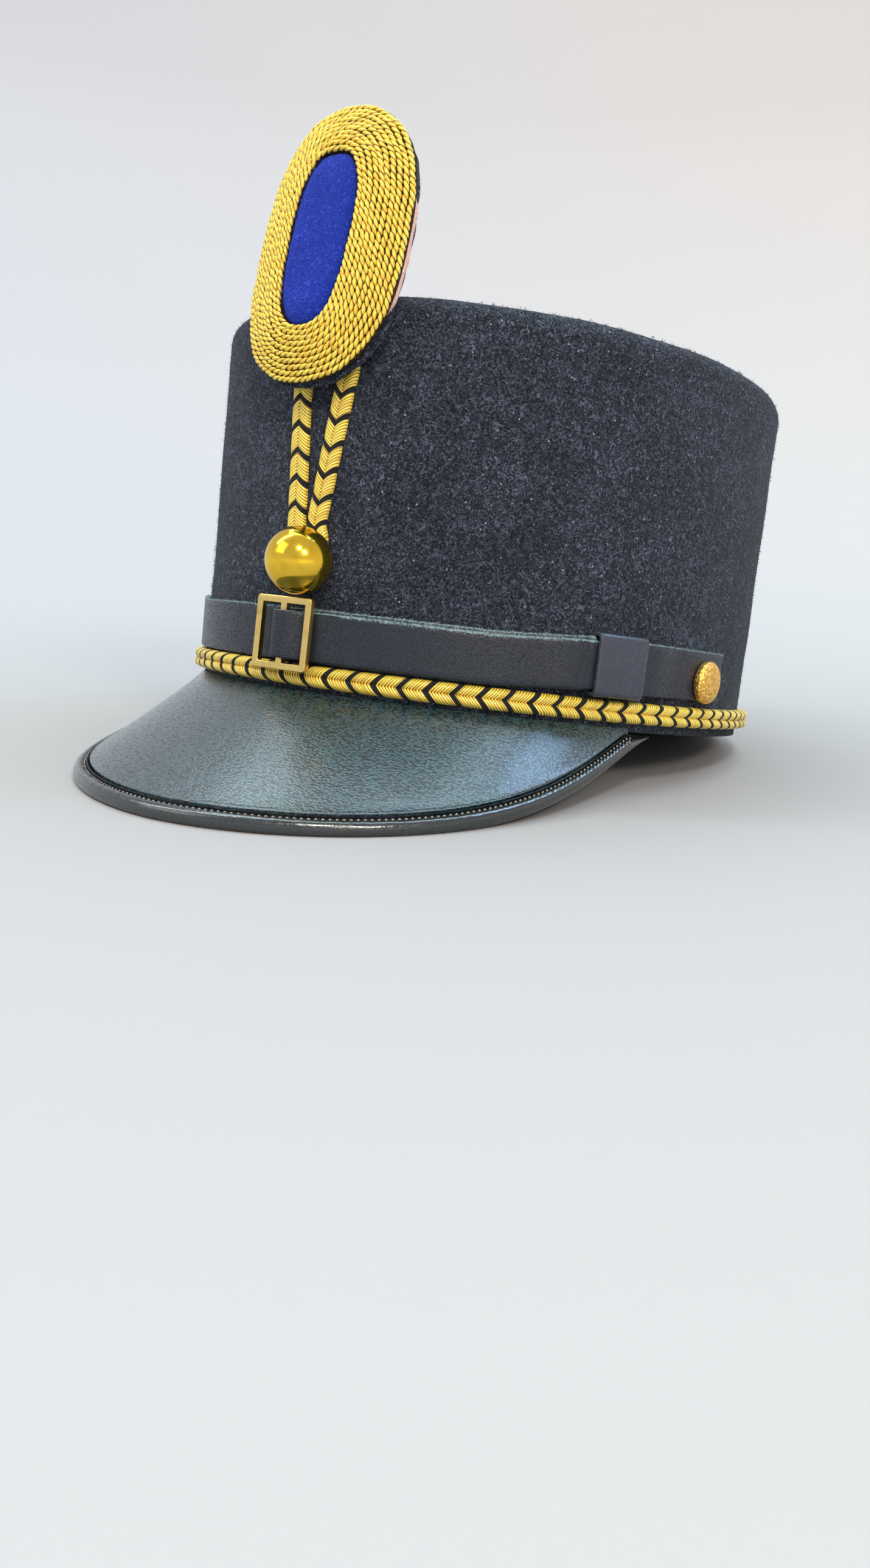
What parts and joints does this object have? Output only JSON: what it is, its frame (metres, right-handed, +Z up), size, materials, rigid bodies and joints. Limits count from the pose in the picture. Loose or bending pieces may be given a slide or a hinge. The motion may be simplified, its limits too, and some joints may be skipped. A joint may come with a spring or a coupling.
{
  "type": "kepi",
  "caption": "Felt dress kepi with a leather peak, gold braid band, buckled leather chin strap, ball button, side buttons and a tall gold cord cockade with a blue felt centre.",
  "frame": {"origin": "centre of the bounding box's base, on the surface the cap rests on", "axes": "+Z up as the cap rests, -Y the way the peak points, +X the wearer's left"},
  "size_m": [0.1816, 0.2722, 0.1806],
  "materials": {
    "navy_wool_felt": "matt wool felt",
    "black_grained_leather": "semi-gloss pebbled grain",
    "black_strap_leather": "satin, raw edges",
    "gold_soutache_braid": "lustrous metallic thread",
    "brushed_brass": "brushed",
    "polished_brass": "polished",
    "blue_wool_felt": "matt wool felt",
    "salmon_felt": "matt felt"
  },
  "bodies": {
    "root": {"crown": "navy_wool_felt", "peak": "black_grained_leather", "peak_binding": "black_grained_leather", "band_braid": "gold_soutache_braid", "chin_strap": "black_strap_leather", "strap_tongue": "black_strap_leather", "strap_keeper": "black_strap_leather", "buckle": "brushed_brass", "side_button_left": "brushed_brass", "side_button_right": "brushed_brass", "ball_button": "polished_brass", "cockade_loop": "gold_soutache_braid", "cockade_backing": "navy_wool_felt", "cockade_ply": "salmon_felt", "cockade_ring": "gold_soutache_braid", "cockade_field": "blue_wool_felt", "cockade_stud": "brushed_brass"}
  },
  "joints": []
}
